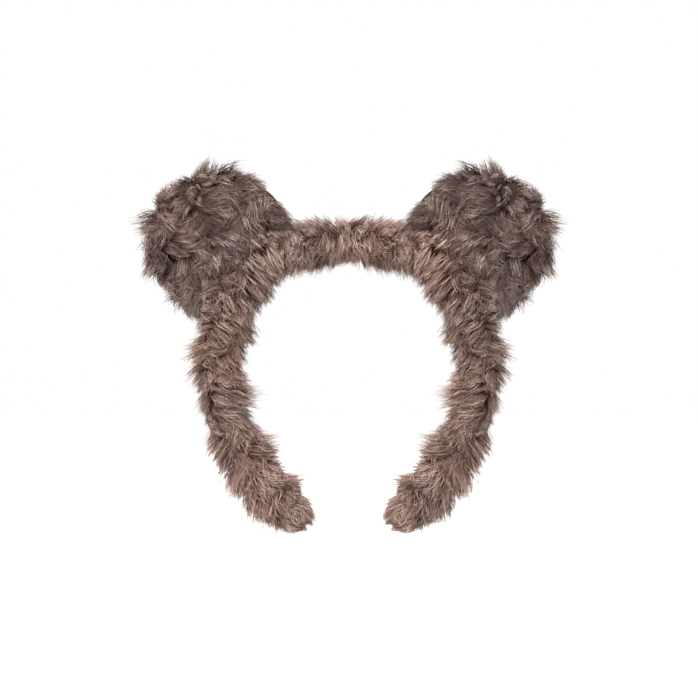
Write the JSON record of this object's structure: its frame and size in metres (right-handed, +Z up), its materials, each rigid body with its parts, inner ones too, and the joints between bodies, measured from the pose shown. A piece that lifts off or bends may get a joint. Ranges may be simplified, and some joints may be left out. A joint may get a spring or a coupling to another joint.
{
  "type": "animal ears headband",
  "caption": "Plush costume headband: a springy padded hoop in a long-pile fur sleeve, with rounded padded fur ears sewn on its shoulders.",
  "frame": {"origin": "where the underside of the crown meets the top of the wearer's head, midway between the ears", "axes": "+X to the viewer's right across the headband, +Y away from the viewer through its thickness, +Z up as it is worn; the ears' fronts face -Y"},
  "size_m": [0.2164, 0.0274, 0.1955],
  "materials": {
    "band_fur": "long shaggy pile, taupe brown with pale tips",
    "ear_fur": "long shaggy pile, darker and greyer than the band's",
    "wadding": "soft white polyester fibre, hidden inside",
    "hoop_plastic": "satin, hidden inside",
    "thread": "dark brown polyester sewing thread"
  },
  "bodies": {
    "crown": {"hoop_core": "hoop_plastic", "wadding_crown": "wadding", "fur_sleeve_crown": "band_fur", "closing_thread_crown": "thread"},
    "left_shoulder": {"wadding_left_shoulder": "wadding", "fur_sleeve_left_shoulder": "band_fur", "closing_thread_left_shoulder": "thread", "left_ear_whip_stitches": "thread"},
    "left_arm": {"wadding_left_arm": "wadding", "fur_sleeve_left_arm": "band_fur", "closing_thread_left_arm": "thread", "tip_pad_left": "wadding"},
    "left_ear": {"left_ear_front_panel": "ear_fur", "left_ear_back_panel": "ear_fur", "left_ear_stuffing": "wadding", "left_ear_rim_thread": "thread"},
    "right_shoulder": {"wadding_right_shoulder": "wadding", "fur_sleeve_right_shoulder": "band_fur", "closing_thread_right_shoulder": "thread", "right_ear_whip_stitches": "thread"},
    "right_arm": {"wadding_right_arm": "wadding", "fur_sleeve_right_arm": "band_fur", "closing_thread_right_arm": "thread", "tip_pad_right": "wadding"},
    "right_ear": {"right_ear_front_panel": "ear_fur", "right_ear_back_panel": "ear_fur", "right_ear_stuffing": "wadding", "right_ear_rim_thread": "thread"}
  },
  "joints": [
    {"name": "left_shoulder_flex", "type": "hinge", "parent": "crown", "child": "left_shoulder", "pos_m": [-0.01397, 0, 0.01029], "axis": [0, 1, 0], "range_deg": [-3, 10], "stiffness_Nm_per_rad": 2.4, "deforming": ["hoop_core"]},
    {"name": "right_shoulder_flex", "type": "hinge", "parent": "crown", "child": "right_shoulder", "pos_m": [0.01397, 0, 0.01029], "axis": [0, -1, 0], "range_deg": [-3, 10], "stiffness_Nm_per_rad": 2.4, "deforming": ["hoop_core"]},
    {"name": "left_arm_flex", "type": "hinge", "parent": "left_shoulder", "child": "left_arm", "pos_m": [-0.06906, 0, -0.05407], "axis": [0, 1, 0], "range_deg": [-3.3, 11], "stiffness_Nm_per_rad": 1.2, "deforming": ["hoop_core"]},
    {"name": "right_arm_flex", "type": "hinge", "parent": "right_shoulder", "child": "right_arm", "pos_m": [0.06906, 0, -0.05407], "axis": [0, -1, 0], "range_deg": [-3.3, 11], "stiffness_Nm_per_rad": 1.2, "deforming": ["hoop_core"]},
    {"name": "left_ear_tilt", "type": "hinge", "parent": "left_shoulder", "child": "left_ear", "pos_m": [-0.04888, 0, -0.00992], "axis": [0.7071, 0, 0.7071], "range_deg": [-35, 35], "stiffness_Nm_per_rad": 0.04},
    {"name": "right_ear_tilt", "type": "hinge", "parent": "right_shoulder", "child": "right_ear", "pos_m": [0.04888, 0, -0.00992], "axis": [0.7071, 0, -0.7071], "range_deg": [-35, 35], "stiffness_Nm_per_rad": 0.04}
  ],
  "couplings": [
    {"joint": "left_arm_flex", "follows": "left_shoulder_flex", "ratio": 1.1},
    {"joint": "right_arm_flex", "follows": "right_shoulder_flex", "ratio": 1.1}
  ]
}
